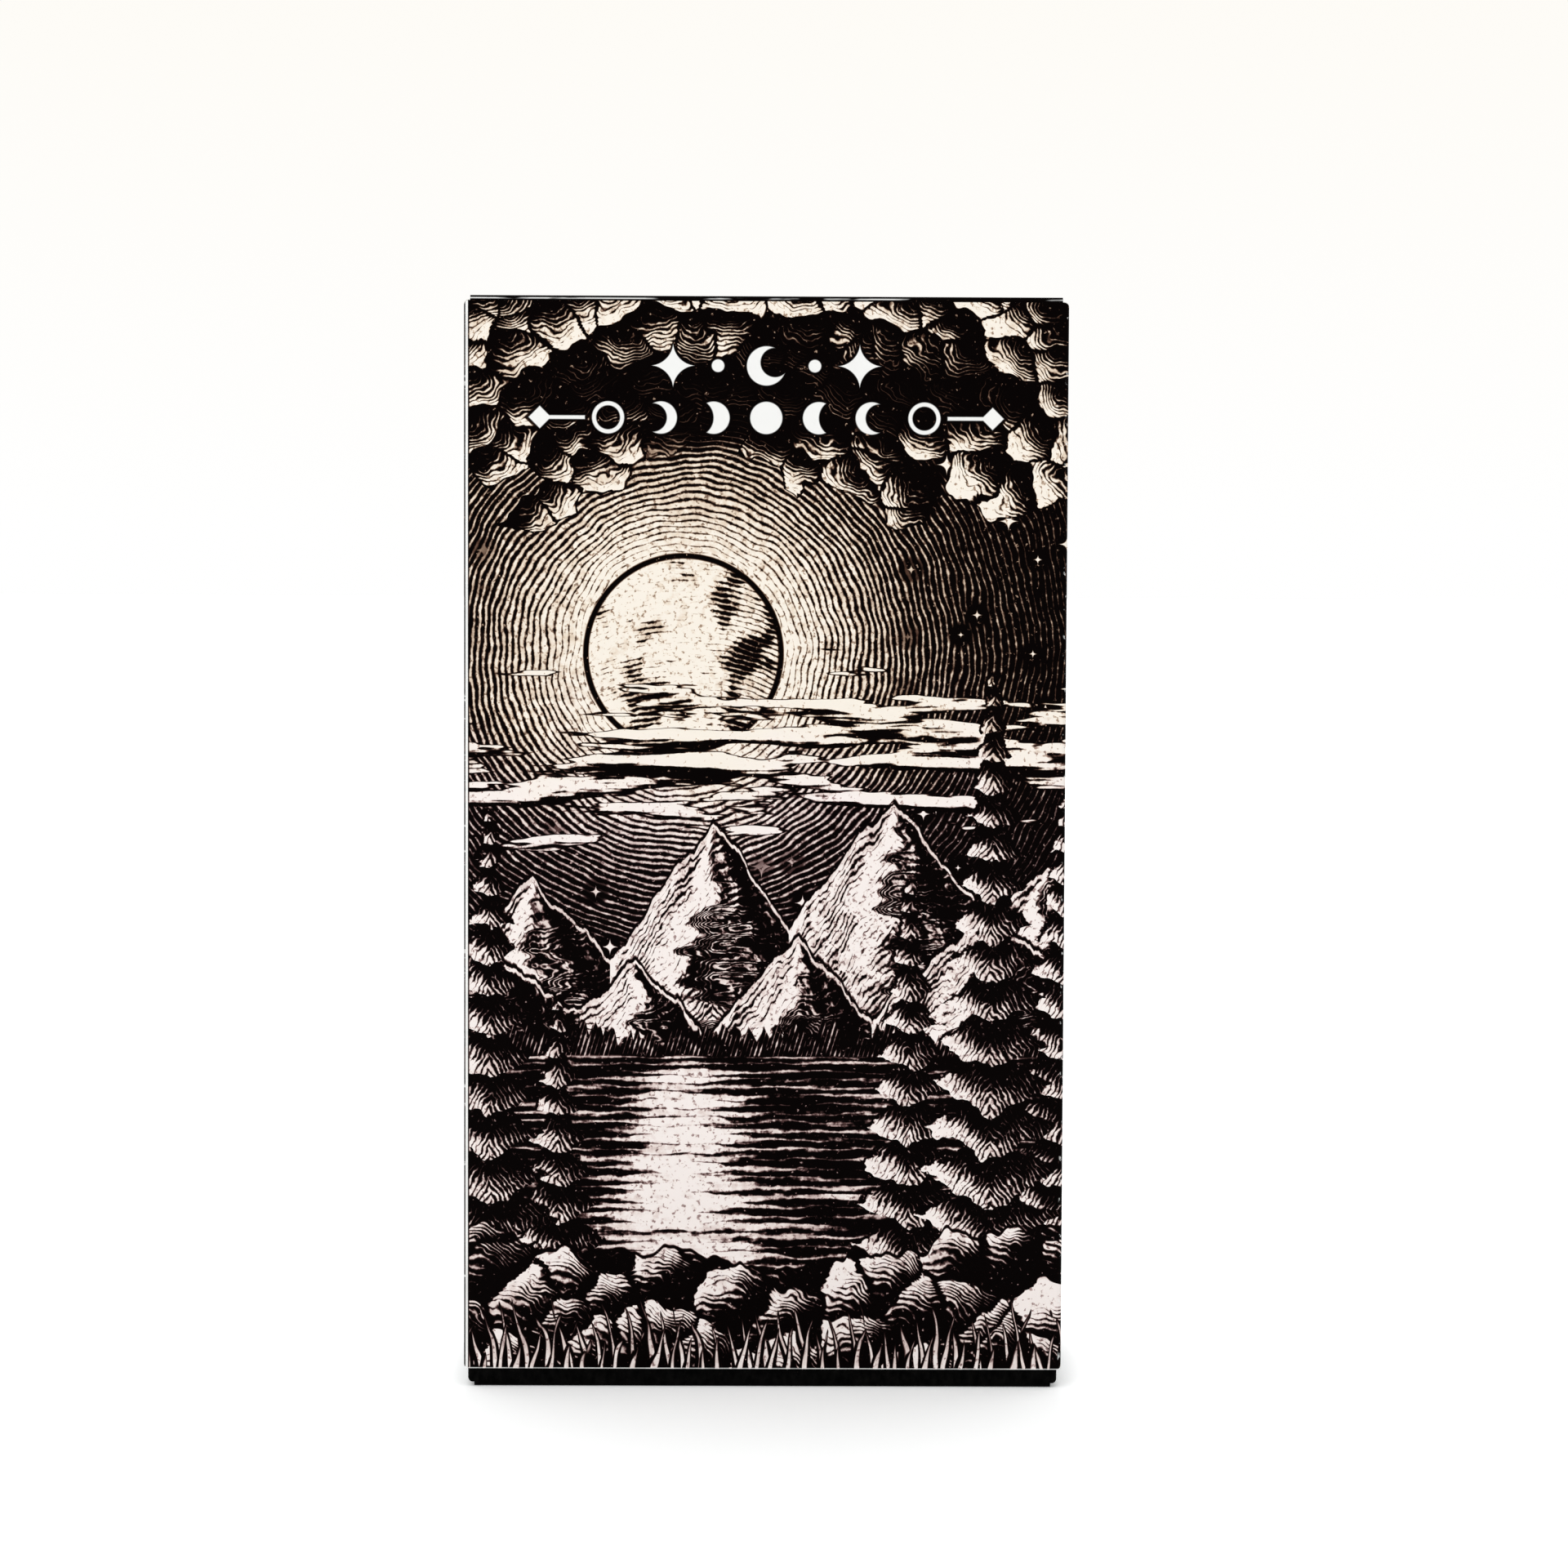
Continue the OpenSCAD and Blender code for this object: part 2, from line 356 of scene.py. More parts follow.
def bank(x, z, ink):
    edge = landscape["bank"] + grain(x, x * 0.5, 9.0, 3.0) * 9.0 + abs(x) * 0.10 - z
    lx, lz, far, gap = heaps(x + 90.0, z * 0.85, landscape["stone"])[:4]
    lit = (lz - lx * 0.6) * 0.19
    tone = (0.34 + lit + grain(x, z, 1.6) * 0.5 + burr(x, z)) * gap.rise(0.02, 0.09)
    stone = cutLines((lz * 0.9 + lx * 0.45 + far * 0.35) / pitch["stone"], tone)
    ink = ink * edge.rise(-0.3, -0.5)
    ink = stone.over(ink, edge.rise(-0.05, 0.1))
    for reach, lean, seed in [(9.0, 0.5, 0.0), (6.5, -0.6, 37.0)]:
        bend = x + (z * z) * 0.035 * lean + grain(x + seed, z * 0.4, 6.0) * 3.0
        blade = abs((bend * 0.5 + seed).part() - 0.5) * 2.0
        tall = reach + grain(x * 1.2 + seed, x, 2.6) * 14.0
        body = (1.0 - z / tall).most(0.0)
        ink = ink * (1.0 - blade.rise(body * 0.95 + 0.1, body * 0.95) * body.rise(0.01, 0.06))
        leaf = blade.rise(body * 0.42 + 0.02, body * 0.42 - 0.08) * body.rise(0.02, 0.2)
        ink = ink * (1.0 - leaf) + leaf * (0.55 + body * 0.55)
    return ink


# two white rows of moons and stars on a darker strip
ornaments = {
    "rowOne": 119.3, "rowTwo": 113.3,
    "starAt": 10.8, "starSize": 2.5, "pinch": 0.6, "dotAt": 5.6, "dot": 0.72, "crescent": 2.25, "bite": 0.76,
    "phaseStep": 6.1, "phaseRadius": 1.85, "ruleFrom": 21.0, "ruleTo": 26.2,
    "ruleHalf": 0.20, "lozenge": 1.28, "slant": 0.71,
    "stripAt": 116.0, "stripEdge": (8.5, 4.0), "stripDim": 0.8,
}


def disc(x, z, px, pz, radius):
    return distance(x, z, px, pz).rise(radius + 0.07, radius - 0.07)


def sparkle(x, z, px, pz, size):
    pinch = ornaments["pinch"]
    arms = abs(x - px) ** pinch + abs(z - pz) ** pinch
    return arms.rise(size ** pinch + 0.05, size ** pinch - 0.05)


def whiteRows(x, z):  # distance from the edge of the white shapes, negative inside
    o = ornaments
    one, two = o["rowOne"], o["rowTwo"]
    half = abs(x)
    bite = o["crescent"] * o["bite"] - distance(x, z, 1.0, one + 0.4)
    shape = (distance(x, z, 0.0, one) - o["crescent"]).most(bite)
    star = abs(half - o["starAt"]) ** o["pinch"] + abs(z - one) ** o["pinch"]
    shape = shape.least((star - o["starSize"] ** o["pinch"]) * 1.2)
    shape = shape.least(distance(half, z, o["dotAt"], one) - o["dot"])
    rule = abs(half - (o["ruleFrom"] + o["ruleTo"]) / 2) - (o["ruleTo"] - o["ruleFrom"]) / 2
    shape = shape.least(rule.most(abs(z - two) - o["ruleHalf"]))
    shape = shape.least((abs(half - o["ruleTo"]) + abs(z - two) - o["lozenge"]) * o["slant"])
    r = o["phaseRadius"]
    shape = shape.least(distance(x, z, 0.0, two) - r)
    for step, shift, inner in ((1, 2.2, r * 1.2), (2, 0.95, r * 0.9), (3, 0.0, r - 0.45)):
        px = step * o["phaseStep"]
        full = distance(half, z, px, two) - r
        shape = shape.least(full.most(inner - distance(half, z, px + shift, two)))
    return shape


# ink to bare paper in five steps: tan inks in the upper half, mauve ones in the lower half
paper = {
    "upper": [(0.0, (0.0012, 0.0003, 0.0003)), (0.30, (0.095, 0.047, 0.031)),
              (0.60, (0.456, 0.323, 0.231)), (0.80, (0.83, 0.687, 0.546)), (0.94, (0.97, 0.89, 0.79))],
    "lower": [(0.0, (0.0012, 0.0003, 0.0003)), (0.30, (0.093, 0.047, 0.045)),
              (0.60, (0.456, 0.323, 0.305)), (0.80, (0.815, 0.687, 0.644)), (0.94, (0.97, 0.885, 0.85))],
    "change": (64.0, 82.0),
    "white": (0.93, 0.92, 0.90),
    # near-white used for painted highlights on the lid's folds and rim, and for real rubbed laminate
    "highlitAndRubbed": (0.96, 0.95, 0.93),
    "rough": 0.3, "frontRough": 1.0,
}


def printColour(ink, x, z, rough=paper["rough"]):  # flecks of ink on paper and of paper in ink
    blot = grain(x, z, 14.0, 3.0)
    fleck = grain(x + 30.0, z, 0.6, 3.0)
    worn = ink + (blot * 0.3 + grain(x + 9.0, z, 1.3, 4.0) * 0.5) * ink
    worn = worn * (1.0 - fleck.rise(0.07, 0.23) * (0.5 * rough))
    worn = worn.most(fleck.rise(-0.19, -0.28) * (0.55 * rough))
    wash = (z + blot * 30.0).rise(*paper["change"])
    return blendColours(wash, ramp(worn, paper["lower"]), ramp(worn, paper["upper"]))


# laminate: little gloss seen straight on, and slightly uneven
film = {
    "wave": 16.0, "pimple": 0.9, "pimpleShare": 0.01, "bump": (0.25, 0.0006),
    "roughness": 0.27, "patch": 7.0, "patchShare": 0.16, "highlitAndRubbedShare": 0.3, "gloss": 0.015,
}


def laminate(shader, x, y, z, colour, highlitAndRubbed):
    wave = grain(x + y, z, film["wave"], 2.0) + grain(x + y, z, film["pimple"], 3.0) * film["pimpleShare"]
    patch = grain(x + y, z, film["patch"], 4.0) * film["patchShare"]
    feed(shader, "Base Color", colour)
    feed(shader, "Roughness", patch + film["roughness"] + highlitAndRubbed * film["highlitAndRubbedShare"])
    feed(shader, "Specular IOR Level", film["gloss"])
    feed(shader, "Normal", bump(wave, *film["bump"]))


def band(value, low, high, soft):
    return value.rise(low - soft, low + soft) * value.rise(high + soft, high - soft)


# painted highlights, drawn as rubbed-white laminate: down the left fold, along the top fold and along the
# pale cut rim; real rubbed flecks on the other folds
foldLightAndWear = {
    "left": (0.20, 0.49), "leftFoldShade": (0.70, 0.62), "top": (0.26, 0.40),
    "fold": (0.5, 0.25), "rim": (0.14, 0.08),
}


def foldHighlightAndWear(x, y, z):
    fromFront = y + lidDeep
    streak = grain(x + y, z * 0.12, 1.2, 3.0)
    # painted highlight: a white band down the left fold, where the glossy fold would catch light
    left = band(x + lidWide, *foldLightAndWear["left"], 0.03) * fromFront.rise(0.56, 0.50)
    left = left * (streak * 0.5 + 1.0).least(1.0)
    dash = grain(x * 0.22, z, 1.4, 3.0) - x * 0.003
    # painted highlight: broken white dashes along the top fold
    top = band(lidHead - z, *foldLightAndWear["top"], 0.05) * fromFront.rise(0.45, 0.35) * dash.rise(-0.05, 0.12) * 0.8
    fold = (lidWide - abs(x)).most(lidDeep - abs(y)).rise(*foldLightAndWear["fold"])
    fleck = grain(x + y, z, 1.1, 4.0).rise(0.14, 0.22) * 0.7
    # pale cut rim at the foot, brightened into a painted highlight
    rim = (z - lidFoot).rise(*foldLightAndWear["rim"]) * (grain(x + y, z, 6.0, 3.0) * 1.2 + 0.7).least(1.0)
    return left.most(top).most(fold * fleck).most(rim)


def foldShade(x, y):  # painted shade: the ink is darkened along the left fold, on both sides of its painted highlight
    return (x + lidWide).rise(*foldLightAndWear["leftFoldShade"]) * (y + lidDeep).rise(0.9, 0.6)


def printed(ink, white, shader, x, y, z, rough=paper["rough"]):
    colour = printColour(ink * (1.0 - foldShade(x, y) * 0.85), x, z, rough)
    if white is not None:
        colour = blendColours(white, colour, (*paper["white"], 1.0))
    # mask of painted highlights on the folds and rim plus real rubbed flecks, printed near-white and rougher
    worn = foldHighlightAndWear(x, y, z)
    laminate(shader, x, y, z, blendColours(worn, colour, (*paper["highlitAndRubbed"], 1.0)), worn)


# front: three heights of one picture, each with only the things that reach it
def frontPrint(name, low, high):
    material, shader, x, y, z = newMaterial(name)
    ink = 0.0
    dim = 0.0
    white = None
    if high > landscape["treeTops"]:  # the sky is darker behind the white rows
        strip = abs(z - ornaments["stripAt"] + grain(x, z, 9.0, 3.0) * 7.0) + x * x * 0.006
        dim = strip.rise(*ornaments["stripEdge"]) * ornaments["stripDim"]
    if high > landscape["shore"]:
        ink = nightSky(x, z, dim)
        if high > landscape["treeTops"]:
            ink = moon(x, z, ink)
        ink = drifts(x, z, ink)
    if high > landscape["treeTops"]:
        ink = clouds(x, z, ink, dim)
    elif high > landscape["shore"]:
        ink = mountains(x, z, ink, landscape["farPeaks"], rough=5.0, mist=26.0, shift=0.0)
        ink = mountains(x, z, ink, landscape["nearPeaks"], rough=5.5, mist=22.0, shift=60.0)
    if high <= landscape["treeTops"]:
        ink = lake(x, z, ink)
    for px, top, width in landscape["pines"]:
        if top > low:
            ink = fir(x, z, ink, px, top, width)
    if high <= landscape["shore"]:
        ink = bank(x, z, ink)
    if high > landscape["treeTops"]:
        rows = whiteRows(x, z)
        ink = ink * (1.0 - rows.rise(0.45, 0.30) * 0.95)
        white = rows.rise(0.07, -0.07)
    printed(ink, white, shader, x, y, z, paper["frontRough"])
    return material


# back: a sun medallion on a lattice
medallion = {
    "middle": 64.5, "core": 8.6, "longRay": 23.0, "shortRay": 16.5, "rays": 12,
    "ring": (25.6, 28.8), "beads": 48, "beadRing": 27.2, "frame": (3.0, 4.1), "lattice": 3.2,
    "cornersUp": 44.0, "cornersOut": 21.0, "cornerMoon": 5.0, "cornerStar": 3.4,
    "moonRoundel": (8.5, 7.6, 0.3), "starRoundel": (5.0, 4.1, 0.25),
}


def polar(x, z, px, pz):
    turn = x.math("ARCTAN2", z - pz, x - px) * (0.5 / math.pi) + 0.5
    return distance(x, z, px, pz), turn


def lattice(x, z, step, tone):
    one = cutLines((x + z) / step, tone, 0.05)
    two = cutLines((x - z) / step, tone, 0.05)
    dot = cutLines((x + z) / step, 0.34, 0.05) * cutLines((x - z) / step, 0.34, 0.05)
    return one.most(two).most(dot)


def rays(ink, r, turn, count, inner, outer, share):
    u = (turn * float(count)).part()
    t = abs(u - 0.5) * 2.0
    body = (1.0 - (r - inner) / (outer - inner)) * share
    lit = u.rise(0.52, 0.48)
    cut = cutLines(r / pitch["sun"], 0.34)
    ray = (lit * 0.95).most(cut)
    shape = t.rise(body + 0.02, body - 0.02) * r.rise(inner - 0.1, inner + 0.1)
    ink = ink * (1.0 - t.rise(body + 0.10, body + 0.07) * r.rise(inner - 0.1, inner + 0.1))
    return ray.over(ink, shape)


def frameLines(ink, x, z, halfWide, low, high, insets):
    near = (halfWide - abs(x)).least(z - low).least(high - z)
    ink = ink * near.rise(insets[1] + 0.5, insets[1] + 0.6)
    outer = band(near, insets[0] - 0.22, insets[0] + 0.22, 0.05)
    inner = band(near, insets[1] - 0.08, insets[1] + 0.08, 0.05)
    return ink.most(outer).most(inner)


def crescent(x, z, px, pz, radius, turn):
    return disc(x, z, px, pz, radius) * (1.0 - disc(x, z, px + turn * radius * 0.42, pz, radius * 0.82))


def roundel(ink, x, z, px, pz, radius, ring, line):  # clears a round place and draws a ring in it
    r = distance(x, z, px, pz)
    return (ink * r.rise(radius - 0.1, radius + 0.1)).most(band(r, ring, ring + line, 0.06))


def sunMedallion(x, z, mid, scale=1.0):
    m = medallion
    r, turn = polar(x, z, 0.0, mid)
    r = r / scale
    low, high = m["ring"]
    glow = (r - m["core"]).most(0.0).fade(7.0)
    ink = cutLines(turn * 144.0, glow * 0.55 + 0.12)
    ink = rays(ink, r, turn + 0.5 / m["rays"], m["rays"], m["core"], m["shortRay"], 0.75)
    ink = rays(ink, r, turn, m["rays"], m["core"], m["longRay"], 0.62)
    shade = ((x / scale) * 0.5 - (z - mid) / scale * 0.5) / m["core"]
    ball = cutLines((r + shade * 3.0) / pitch["sun"], 0.82 - shade.rise(-0.3, 0.9) * 0.62)
    ink = ink * r.rise(m["core"] + 0.55, m["core"] + 0.7)
    ink = ball.over(ink, r.rise(m["core"] + 0.1, m["core"] - 0.1))
    ink = ink * r.rise(low, low - 0.2)
    ink = ink.most(band(r, low + 0.1, low + 0.45, 0.06)).most(band(r, high - 0.5, high - 0.1, 0.06))
    bead = abs((turn * float(m["beads"])).part() - 0.5) * (2.0 * math.pi * m["beadRing"] / m["beads"])
    beads = (bead * bead + (r - m["beadRing"]) * (r - m["beadRing"])).root().rise(0.85, 0.7)
    return ink.most(beads), r.rise(high + 0.6, high + 0.4)


def backPrint():
    material, shader, x, y, z = newMaterial("lidBackPrint")
    m = medallion
    ink = lattice(x, z, m["lattice"], 0.10)
    sun, inside = sunMedallion(x, z, m["middle"])
    ink = sun.over(ink, inside)
    for up in (-1, 1):
        pz = m["middle"] + up * m["cornersUp"]
        ink = roundel(ink, x, z, 0.0, pz, *m["moonRoundel"])
        ink = ink.most(crescent(x, z, 0.0, pz, m["cornerMoon"], float(up)))
        for across in (-m["cornersOut"], m["cornersOut"]):
            ink = roundel(ink, x, z, across, pz, *m["starRoundel"])
            ink = ink.most(sparkle(x, z, across, pz, m["cornerStar"]))
    ink = frameLines(ink, x, z, lidWide, lidFoot, lidHead, m["frame"])
    printed(ink, None, shader, x, y, z)
    return material


# sides: a column of diamonds with stars
column = {"step": 13.0, "diamond": (7.4, 6.4), "frame": (1.6, 2.6)}


def sidePrint():
    material, shader, x, y, z = newMaterial("lidSidePrint")
    step = column["step"]
    halfWide, halfTall = column["diamond"]
    up = ((z - (lidFoot + lidHead) / 2) / step + 0.5).part() * step - step / 2
    reach = abs(y) / halfWide + abs(up) / halfTall
    ink = cutLines((y + z) / pitch["hatch"], grain(y, z, 8.0) * 0.3 + 0.13)
    ink = ink * reach.rise(1.0, 1.06)
    ink = ink.most(band(reach, 0.93, 0.99, 0.012)).most(band(reach, 0.80, 0.82, 0.012))
    ink = ink.most(cutLines(up / pitch["diamond"], 0.5 - reach * 0.4) * reach.rise(0.74, 0.72))
    star = abs(y).root() + abs(up).root()
    ink = (ink * star.rise(1.95, 2.05)).most(star.rise(1.75, 1.68))
    ink = frameLines(ink, y, z, lidDeep, lidFoot, lidHead, column["frame"])
    printed(ink, None, shader, x, y, z)
    return material


# top: a moon between two stars
crown = {"moon": 4.6, "roundel": (7.5, 6.6, 0.3), "starAt": 19.0, "star": 3.6, "frame": (2.0, 3.0)}


def topPrint():
    material, shader, x, y, z = newMaterial("lidTopPrint")
    ink = cutLines((x + y) / pitch["hatch"], grain(x, y, 8.0) * 0.3 + 0.12)
    ink = roundel(ink, x, y, 0.0, 0.0, *crown["roundel"])
    ink = ink.most(crescent(x, y, 0.0, 0.0, crown["moon"], 1.0))
    for across in (-crown["starAt"], crown["starAt"]):
        ink = ink * distance(x, y, across, 0.0).rise(4.9, 5.1)
        ink = ink.most(sparkle(x, y, across, 0.0, crown["star"]))
    ink = frameLines(ink, x, y, lidWide, -lidDeep, lidDeep, crown["frame"])
    printed(ink, None, shader, x, y, z)
    return material


# lid: folded sheets, each one bent from a few corners
lidBoard = {
    "thick": 0.36, "foldRadius": 0.56, "foldSteps": 8, "lip": 0.05,
    "panelInset": 0.75, "tuckLength": 12.0, "dustLength": 20.0,
    "sideDrop": 0.51, "tuckGap": 0.46, "seamWidth": 9.0, "seamClear": 13.0, "seamShort": 1.0,
    "corner": 0.6, "cornerCuts": (0.05, 0.15, 0.3, 0.6), "sharpAngle": 35.0,
    "inside": [(0.2, (0.52, 0.49, 0.44)), (0.8, (0.74, 0.71, 0.66))],
    "cutEdge": [(0.2, (0.60, 0.57, 0.52)), (0.8, (0.88, 0.86, 0.82))],
}


def boardInside():
    material, shader, x, y, z = newMaterial("lidInside")
    fibre = grain(x + y * 1.3, z * 0.4, 0.6, 4.0)
    speck = grain(x + y, z, 0.35, 2.0).rise(0.2, 0.3)
    feed(shader, "Base Color", ramp(fibre + 0.5 - speck * 0.2, lidBoard["inside"]))
    feed(shader, "Roughness", fibre * 0.2 + 0.78)
    feed(shader, "Normal", bump(fibre, 0.3, 0.0001))
    return material


def boardEdge():
    material, shader, x, y, z = newMaterial("lidCutEdge")
    ply = grain(x * 3.0 + y * 3.0, z * 3.0, 0.5, 3.0)
    feed(shader, "Base Color", ramp(ply + 0.5, lidBoard["cutEdge"]))
    feed(shader, "Roughness", ply * 0.2 + 0.8)
    return material


lidInside, lidCutEdge = boardInside(), boardEdge()


# board is worn round where a fold meets the open end, and on the front's top corners
def roundCorners(bm, front):
    b = lidBoard
    radius = b["corner"]
    turn = b["foldRadius"] + b["lip"]
    for v in bm.verts:
        x, y, z = v.co / mm
        near = max(lidWide - abs(x), lidDeep - turn - abs(y))
        if near < radius:
            lift = radius - math.sqrt(radius ** 2 - (radius - max(near, 0.0)) ** 2)
            if abs(z - lidFoot) < 0.01:
                v.co.z += lift * mm
            elif front and abs(z - lidHead + turn) < 0.01:
                v.co.z -= lift * mm


def bentSheet(name, corners, travel, outward, prints, heights=(), depths=()):
    b = lidBoard
    bm = bmesh.new()
    verts = [bm.verts.new(Vector(c) * mm) for c in corners]
    for first, second in zip(verts, verts[1:]):
        bm.edges.new((first, second))
    if len(verts) > 2:
        bmesh.ops.bevel(bm, geom=verts[1:-1], offset=b["foldRadius"] * mm, offset_type="OFFSET",
                        affect="VERTICES", segments=b["foldSteps"], profile=0.5, material=-1)
    swept = bmesh.ops.extrude_edge_only(bm, edges=bm.edges[:])["geom"]
    moved = [v for v in swept if isinstance(v, bmesh.types.BMVert)]
    bmesh.ops.translate(bm, verts=moved, vec=Vector(travel) * mm)
    bmesh.ops.recalc_face_normals(bm, faces=bm.faces[:])
    widest = max(bm.faces, key=lambda f: f.calc_area())
    if widest.normal.dot(Vector(outward)) < 0:
        bmesh.ops.reverse_faces(bm, faces=bm.faces[:])
    for height in heights:
        bmesh.ops.bisect_plane(bm, geom=bm.verts[:] + bm.edges[:] + bm.faces[:],
                               plane_co=(0, 0, height * mm), plane_no=(0, 0, 1))
    for depth in depths:
        bmesh.ops.bisect_plane(bm, geom=bm.verts[:] + bm.edges[:] + bm.faces[:],
                               plane_co=(0, depth * mm, 0), plane_no=(0, 1, 0))
    roundCorners(bm, name == "lidFront")
    outside = bm.faces[:]
    bmesh.ops.solidify(bm, geom=outside, thickness=b["thick"] * mm)
    last = len(heights)
    for place, face in enumerate(bm.faces):  # printed side first, then the inside, then the cut rims
        face.smooth = True
        if place < len(outside):
            middle = face.calc_center_median().z / mm
            face.material_index = sum(middle > height for height in heights)
        else:
            face.material_index = last + (1 if place < 2 * len(outside) else 2)
    mesh = bpy.data.meshes.new(name)
    bm.to_mesh(mesh)
    bm.free()
    mesh.set_sharp_from_angle(angle=math.radians(b["sharpAngle"]))
    piece = bpy.data.objects.new(name, mesh)
    bpy.context.scene.collection.objects.link(piece)
    for material in (*prints, lidInside, lidCutEdge):
        mesh.materials.append(material)
    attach(piece, "lid")
    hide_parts("lid")
    return piece


def makeLid():
    b = lidBoard
    wide, deep, foot, head = lidWide, lidDeep, lidFoot, lidHead
    turn = b["foldRadius"] + b["lip"]
    sideTop = head - b["sideDrop"]
    heights = (landscape["shoreSeam"], landscape["treeTops"])
    front = [frontPrint("lidFrontShore", foot, heights[0]),
             frontPrint("lidFrontPeaks", heights[0], heights[1]),
             frontPrint("lidFrontSky", heights[1], head)]
    back, sides, top = [backPrint()], [sidePrint()], [topPrint()]
    bentSheet("lidFront", [(-wide, turn - deep, foot), (-wide, -deep, foot), (wide, -deep, foot),
                           (wide, turn - deep, foot)], (0, 0, head - turn - foot), (0, -1, 0), front, heights)
    bentSheet("lidBack", [(-wide, deep - turn, foot), (-wide, deep, foot), (wide, deep, foot),
                          (wide, deep - turn, foot)], (0, 0, sideTop - foot), (0, 1, 0), back)
    nicks = [end * (deep - turn - step) for end in (-1, 1) for step in b["cornerCuts"]]
    for side, name in ((-1, "lidLeft"), (1, "lidRight")):
        bentSheet(name, [(side * wide, turn - deep, foot), (side * wide, turn - deep, sideTop),
                         (side * (wide - b["dustLength"]), turn - deep, sideTop)],
                  (0, 2 * (deep - turn), 0), (side, 0, 0), sides, (), nicks)
    panel = wide - b["panelInset"]
    backFold = deep - b["tuckGap"]
    bentSheet("lidTop", [(-panel, -deep, head - turn), (-panel, -deep, head), (-panel, backFold, head),
                         (-panel, backFold, head - b["tuckLength"])], (2 * panel, 0, 0), (0, 0, 1), top)
    seamX = wide - b["thick"] - b["seamWidth"]
    seamTop = head - b["seamClear"]
    bentSheet("lidSeam", [(seamX, deep - b["thick"], foot + b["seamShort"]),
                          (wide - b["thick"], deep - b["thick"], foot + b["seamShort"])],
              (0, 0, seamTop - foot - b["seamShort"]), (0, 1, 0), [lidInside])
    print("lid made from six sheets")


# tray: board dyed black, scuffed a little by the lid
trayBoard = {
    "colours": [(0.0, (0.0004, 0.0004, 0.0004)), (1.0, (0.035, 0.033, 0.031))],
    "gloss": 0.015, "sheenFrom": (2.0, 24.0), "sheenRoughness": 0.32,
}


def blackBoard():
    material, shader, x, y, z = newMaterial("trayBlack")
    low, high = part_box("tray")
    fibre = grain(x + y, z * 0.6, 0.8, 4.0)
    near = (high.x / mm - abs(x)).most(high.y / mm - abs(y))
    scuff = grain(x * 2.0 + y * 2.0, z * 0.08, 1.6, 4.0).rise(0.12, 0.30) * 0.35
    scuff = scuff.most(near.rise(0.5, 0.1) * grain(x + y, z, 1.4, 4.0).rise(0.02, 0.2) * 0.8)
    scuff = scuff * (z - low.z / mm).rise(3.0, 9.0)
    feed(shader, "Base Color", ramp(fibre * 0.25 + 0.04 + scuff * 0.6, trayBoard["colours"]))
    feed(shader, "Roughness", fibre * 0.2 + 0.5 - scuff * 0.1)
    feed(shader, "Specular IOR Level", trayBoard["gloss"])
    feed(shader, "Coat Weight", (z - low.z / mm).rise(*trayBoard["sheenFrom"]) * (fibre * 0.4 + 0.3))
    feed(shader, "Coat Roughness", trayBoard["sheenRoughness"])
    feed(shader, "Normal", bump(fibre, 0.2, 0.0001))
    return material


# cards: a printed face to the front, a lattice on the back, pale stock at the edges
deck = {
    "border": 3.4, "plaque": (15.0, 3.4), "plaqueAt": 49.5, "beadStep": 2.3, "beadSize": (0.75, 0.62),
    "backLattice": 4.2, "backStarAt": 26.0, "backStar": 7.0, "backRoundel": (11.1, 9.6, 0.6),
    "suits": ("wands", "cups", "swords", "coins"), "slack": 0.04, "gloss": 0.15,
    "stock": [(0.2, (0.66, 0.62, 0.54)), (0.8, (0.80, 0.76, 0.68))],
}


def wandSign(x, z):
    stem = (abs(x + grain(x, z, 9.0) * 1.6) - 1.7).most(abs(z) - 30.0)
    shape = stem.rise(0.08, -0.08)
    for place, side in ((-16.0, 1), (-4.0, -1), (8.0, 1), (19.0, -1)):
        across = (x * side - 4.6) * 0.8 - (z - place - 2.6) * 0.6
        along = (x * side - 4.6) * 0.6 + (z - place - 2.6) * 0.8
        shape = shape.most((across * across * 0.30 + along * along * 0.055).rise(1.05, 0.95))
    return shape


def cupSign(x, z):
    bowl = ((x * x) / 196.0 + (z - 18.0) * (z - 18.0) / 400.0).rise(1.01, 0.99) * z.rise(18.05, 17.95)
    stem = (abs(x) - 1.7 - (z + 12.0) * (z + 12.0) * 0.012).most(abs(z + 12.0) - 13.0).rise(0.1, -0.1)
    knop = distance(x, z, 0.0, -10.0).rise(3.3, 3.1)
    foot = (x * x / 121.0 + (z + 26.0) * (z + 26.0) / 36.0).rise(1.02, 0.98) * z.rise(-26.1, -25.9)
    lip = (abs(x) - 15.2).most(abs(z - 18.6) - 0.8).rise(0.1, -0.1)
    return bowl.most(stem).most(knop).most(foot).most(lip)


def swordSign(x, z):
    blade = (abs(x) - (2.3 - (z + 12.0).most(0.0) * 0.02)).most(abs(z - 10.0) - 22.0)
    tip = (abs(x) + (z - 34.0) * 0.4).most(-z - 12.0)
    guard = (abs(x) - 9.5).most(abs(z + 13.0 + x * x * 0.012) - 1.0)
    grip = (abs(x) - 1.3).most(abs(z + 20.0) - 6.5)
    return blade.most(tip).rise(0.1, -0.1).most(guard.rise(0.1, -0.1)).most(grip.rise(0.1, -0.1)).most(
        disc(x, z, 0.0, -28.0, 2.6))


def coinSign(x, z):
    r, turn = polar(x, z, 0.0, 0.0)
    petal = r - 9.5 - x.math("COSINE", turn * (12.0 * math.pi)) * 3.2
    body = r.rise(19.1, 18.9) * (1.0 - band(r, 16.6, 17.1, 0.06)) * (1.0 - band(r, 14.2, 14.4, 0.06))
    return body * (1.0 - band(petal, -0.5, 0.4, 0.1)) * (1.0 - disc(x, z, 0.0, 0.0, 2.2))


signs = {"wands": wandSign, "cups": cupSign, "swords": swordSign, "coins": coinSign}


